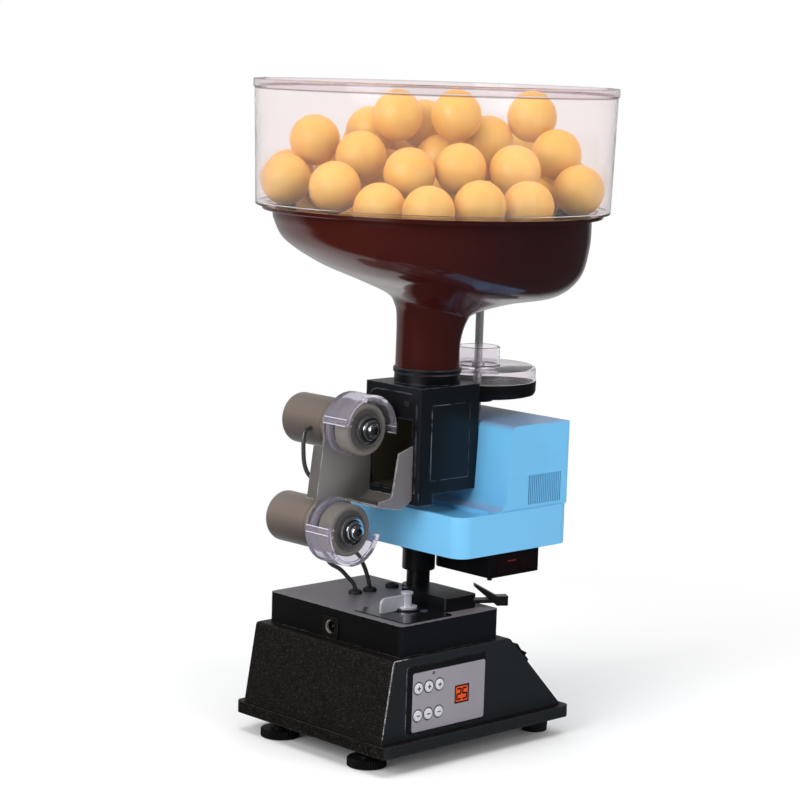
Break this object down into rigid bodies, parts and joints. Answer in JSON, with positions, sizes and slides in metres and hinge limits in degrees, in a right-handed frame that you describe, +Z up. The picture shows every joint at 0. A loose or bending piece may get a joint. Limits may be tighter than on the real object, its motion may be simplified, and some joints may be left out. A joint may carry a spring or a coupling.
{
  "type": "table tennis robot",
  "caption": "Table tennis ball-throwing robot: round hopper over a sweeping head with motor-driven foam wheels, on a heavy base with a button panel.",
  "frame": {"origin": "on the table, below the middle of the round hopper", "axes": "+Z up, -Y the way the balls are thrown, +X towards the side with the control panel"},
  "size_m": [0.288, 0.288, 0.5227],
  "materials": {
    "hammered": "hammered dark grey-brown enamel",
    "box_top": "dark satin enamel with a lilac tint",
    "black_plastic": "black moulded plastic",
    "rubber": "black rubber",
    "panel_grey": "light grey printed panel sheet",
    "button_white": "white plastic",
    "display": "orange-red display window",
    "window_red": "dark red smoked window",
    "bright_metal": "bright turned metal",
    "blue": "light blue moulded plastic",
    "slate": "dark slate moulded plastic",
    "sheet_metal": "bent dark zinc-plated sheet",
    "motor": "brown-grey enamelled motor can",
    "foam": "grey foam rubber",
    "clear": "clear moulded plastic",
    "bowl": "glossy smoked brown plastic",
    "steel": "plain steel",
    "copper": "varnished copper winding on a laminated core",
    "board": "green circuit board"
  },
  "bodies": {
    "base": {"base_pan": "hammered", "rubber_foot_left": "rubber", "rubber_foot_right": "rubber", "base_case": "hammered", "panel_frame": "black_plastic", "panel_sheet": "panel_grey", "display_window": "display", "control_board": "board", "transformer": "copper", "rocker_frame": "black_plastic", "control_box": "box_top", "top_plate": "black_plastic", "power_inlet": "black_plastic", "grommet_1": "rubber", "grommet_2": "rubber", "grommet_3": "rubber", "lever_washer": "black_plastic", "pivot_block": "black_plastic", "sweep_motor": "steel"},
    "screw_foot_left": {"screw_foot_left": "black_plastic"},
    "screw_foot_right": {"screw_foot_right": "black_plastic"},
    "rocker": {"rocker": "rubber"},
    "sweep_lever": {"sweep_lever": "bright_metal"},
    "clamp_lever": {"clamp_lever": "black_plastic"},
    "head": {"pivot_post": "slate", "pivot_collar": "slate", "tray": "blue", "tray_base": "black_plastic", "receiver_box": "black_plastic", "receiver_window": "window_red", "housing": "blue", "feeder_box": "slate", "exit_plate": "slate", "neck_collar": "slate", "feed_motor": "steel", "wheel_bracket": "sheet_metal", "motor_upper": "motor", "motor_lower": "motor", "guard_upper": "clear", "guard_lower": "clear", "drive_dish": "black_plastic", "drive_cover": "clear", "stir_motor": "steel", "hopper_bowl": "bowl", "lead_lower": "rubber", "lead_upper": "rubber"},
    "wheel_upper": {"wheel_upper": "foam", "hub_upper": "bright_metal"},
    "wheel_lower": {"wheel_lower": "foam", "hub_lower": "bright_metal"},
    "feed_plunger": {"feed_plunger": "button_white"},
    "stirrer": {"stir_shaft": "bright_metal", "stir_paddle": "black_plastic"},
    "hopper_ring": {"hopper_ring": "clear"},
    "button_1": {"button_1": "button_white"},
    "button_2": {"button_2": "button_white"},
    "button_3": {"button_3": "button_white"},
    "button_4": {"button_4": "button_white"},
    "button_5": {"button_5": "button_white"},
    "button_6": {"button_6": "button_white"}
  },
  "joints": [
    {"name": "screw_foot_left_turn", "type": "hinge", "parent": "base", "child": "screw_foot_left", "pos_m": [-0.0511, -0.1019, 0], "axis": [0, 0, 1], "continuous": true},
    {"name": "screw_foot_right_turn", "type": "hinge", "parent": "base", "child": "screw_foot_right", "pos_m": [0.0511, -0.1019, 0], "axis": [0, 0, 1], "continuous": true},
    {"name": "button_1_press", "type": "slide", "parent": "base", "child": "button_1", "axis": [-1, 0, 0], "range_m": [0, 0.0008], "stiffness_N_per_m": 300},
    {"name": "button_2_press", "type": "slide", "parent": "base", "child": "button_2", "axis": [-1, 0, 0], "range_m": [0, 0.0008], "stiffness_N_per_m": 300},
    {"name": "button_3_press", "type": "slide", "parent": "base", "child": "button_3", "axis": [-1, 0, 0], "range_m": [0, 0.0008], "stiffness_N_per_m": 300},
    {"name": "button_4_press", "type": "slide", "parent": "base", "child": "button_4", "axis": [-1, 0, 0], "range_m": [0, 0.0008], "stiffness_N_per_m": 300},
    {"name": "button_5_press", "type": "slide", "parent": "base", "child": "button_5", "axis": [-1, 0, 0], "range_m": [0, 0.0008], "stiffness_N_per_m": 300},
    {"name": "button_6_press", "type": "slide", "parent": "base", "child": "button_6", "axis": [-1, 0, 0], "range_m": [0, 0.0008], "stiffness_N_per_m": 300},
    {"name": "rocker_tilt", "type": "hinge", "parent": "base", "child": "rocker", "pos_m": [0.066, 0.04489, 0.07054], "axis": [1, 0, 0], "range_deg": [-12, 0]},
    {"name": "sweep_lever_turn", "type": "hinge", "parent": "base", "child": "sweep_lever", "pos_m": [0.037, -0.0505, 0.1137], "axis": [0, 0, 1], "range_deg": [-75, 75]},
    {"name": "clamp_lever_turn", "type": "hinge", "parent": "base", "child": "clamp_lever", "pos_m": [0.05883, -0.00433, 0.1184], "axis": [0.521, 0.8536, 0], "range_deg": [-30, 30]},
    {"name": "head_sweep", "type": "hinge", "parent": "base", "child": "head", "pos_m": [0, -0.0025, 0.1129], "axis": [0, 0, 1], "range_deg": [-20, 20]},
    {"name": "wheel_upper_spin", "type": "hinge", "parent": "head", "child": "wheel_upper", "pos_m": [0, -0.06727, 0.25309], "axis": [1, 0, 0], "continuous": true},
    {"name": "wheel_lower_spin", "type": "hinge", "parent": "head", "child": "wheel_lower", "pos_m": [0, -0.08173, 0.17431], "axis": [1, 0, 0], "continuous": true},
    {"name": "stirrer_turn", "type": "hinge", "parent": "head", "child": "stirrer", "pos_m": [-0.02, 0.0785, 0.254], "axis": [0, 0, 1], "continuous": true},
    {"name": "plunger_push", "type": "slide", "parent": "head", "child": "feed_plunger", "axis": [0, -1, 0], "range_m": [0, 0.024], "stiffness_N_per_m": 60},
    {"name": "ring_lift", "type": "slide", "parent": "head", "child": "hopper_ring", "axis": [0, 0, 1], "range_m": [0, 0.1]}
  ]
}
